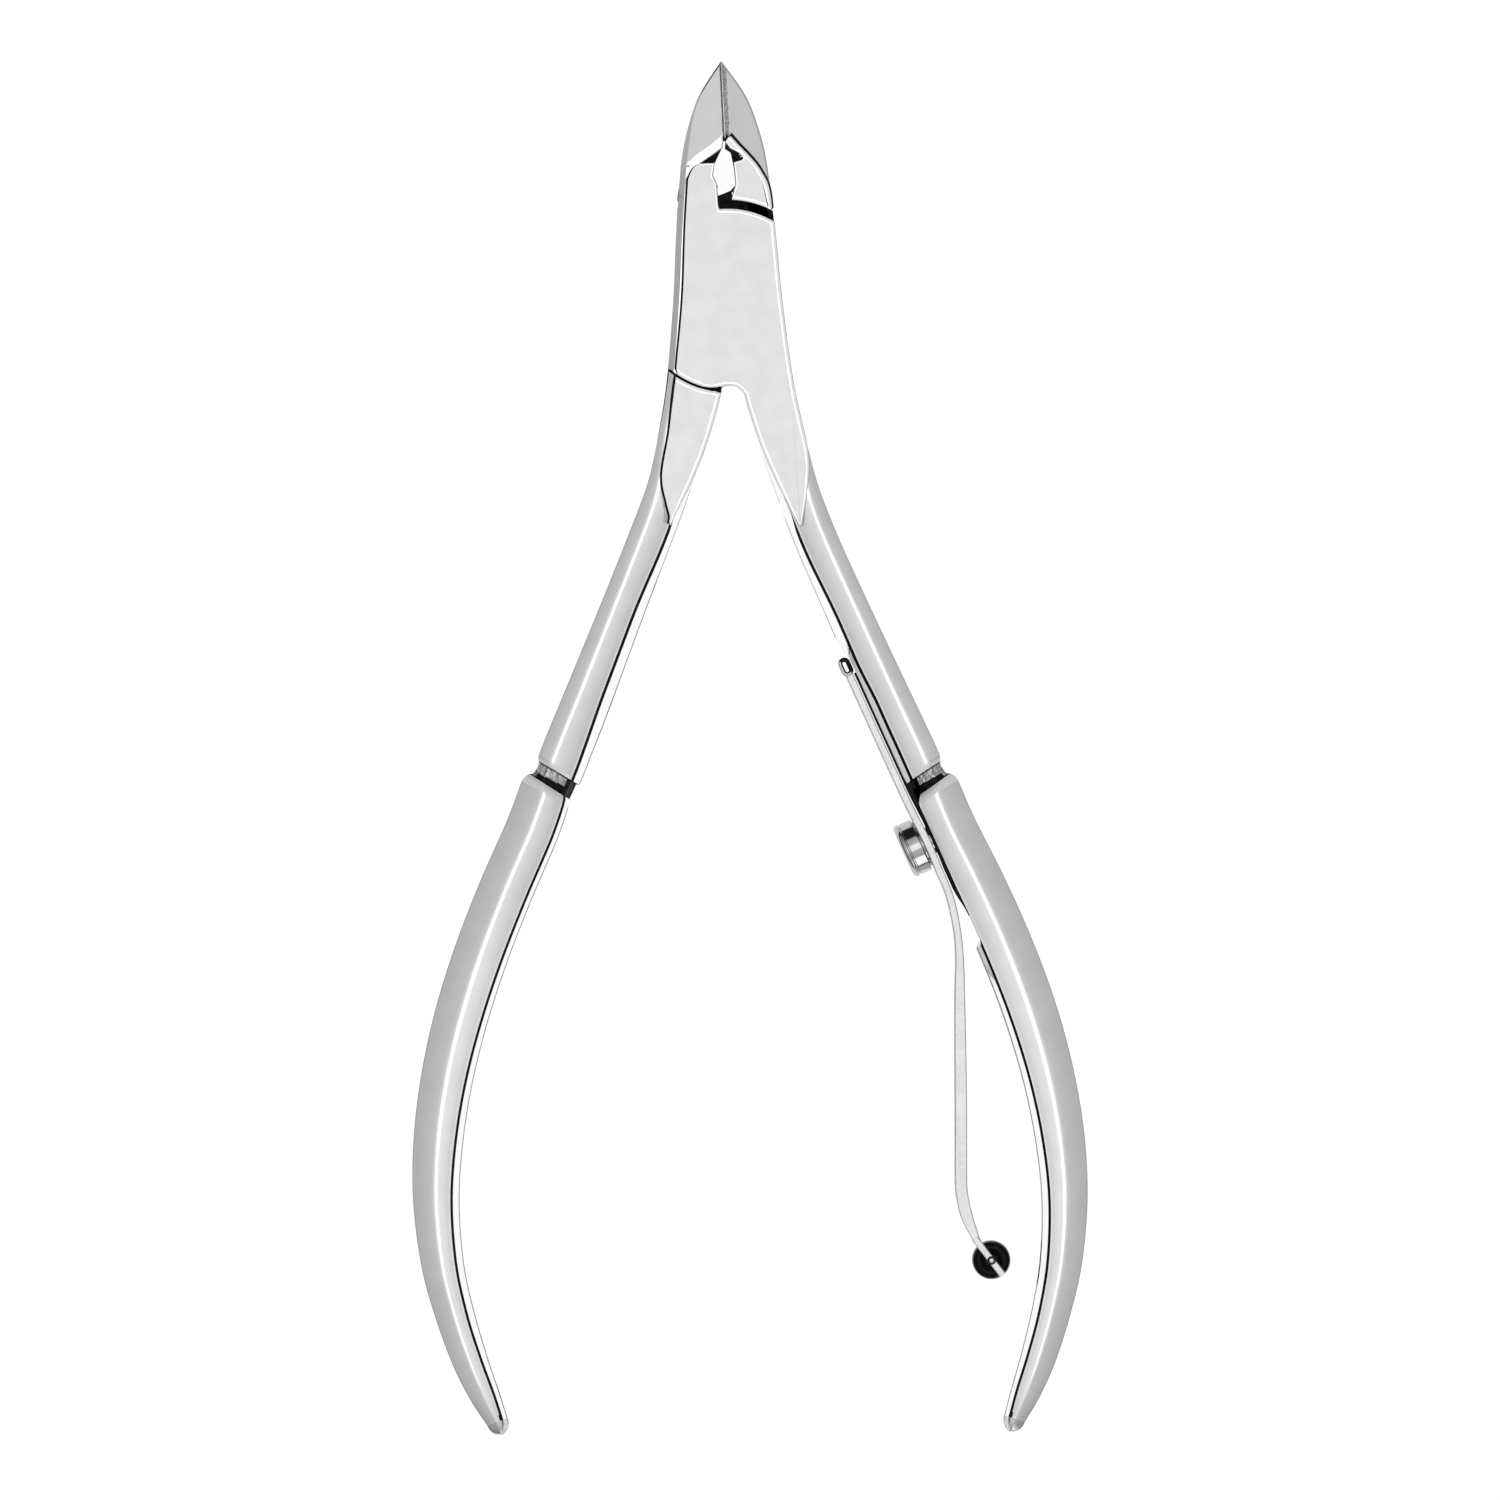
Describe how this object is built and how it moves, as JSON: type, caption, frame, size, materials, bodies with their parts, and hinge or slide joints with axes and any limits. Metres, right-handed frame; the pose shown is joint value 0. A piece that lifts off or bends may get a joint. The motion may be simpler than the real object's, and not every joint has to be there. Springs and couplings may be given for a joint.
{
  "type": "cuticle nipper",
  "caption": "Slim lap-jointed steel cuticle nipper with pointed jaws, curved faceted handles and a leaf spring that carries a small roller.",
  "frame": {"origin": "where the pivot axis meets the joint's flat back face", "axes": "+Y from the handles towards the jaw tips, +Z out of the front face along the pivot, +X to the right seen from the front"},
  "size_m": [0.0566, 0.1153, 0.0048],
  "materials": {
    "polished_steel": "hand-polished stainless steel, satin on the ground faces",
    "spring_steel": "fine-ground spring steel",
    "plated_screw": "bright nickel plate",
    "black_roller": "glossy black moulded nylon"
  },
  "bodies": {
    "front_half": {"front_lever": "polished_steel", "pivot_rivet": "polished_steel", "spring_screw": "plated_screw"},
    "rear_half": {"rear_lever": "polished_steel"},
    "spring": {"leaf_spring": "spring_steel", "spring_washer": "plated_screw", "roller_axle": "plated_screw"},
    "roller": {"roller": "black_roller"}
  },
  "joints": [
    {"name": "jaw_pivot", "type": "hinge", "parent": "front_half", "child": "rear_half", "pos_m": [0, 0, 0.0024], "axis": [0, 0, -1], "range_deg": [0, 15]},
    {"name": "spring_swing", "type": "hinge", "parent": "front_half", "child": "spring", "pos_m": [0.01608, -0.04562, 0.0024], "axis": [-0.9219, -0.3875, 0], "range_deg": [0, 150]},
    {"name": "roller_spin", "type": "hinge", "parent": "spring", "child": "roller", "pos_m": [0.01992, -0.08105, 0.0024], "axis": [0, 0, 1], "continuous": true}
  ]
}
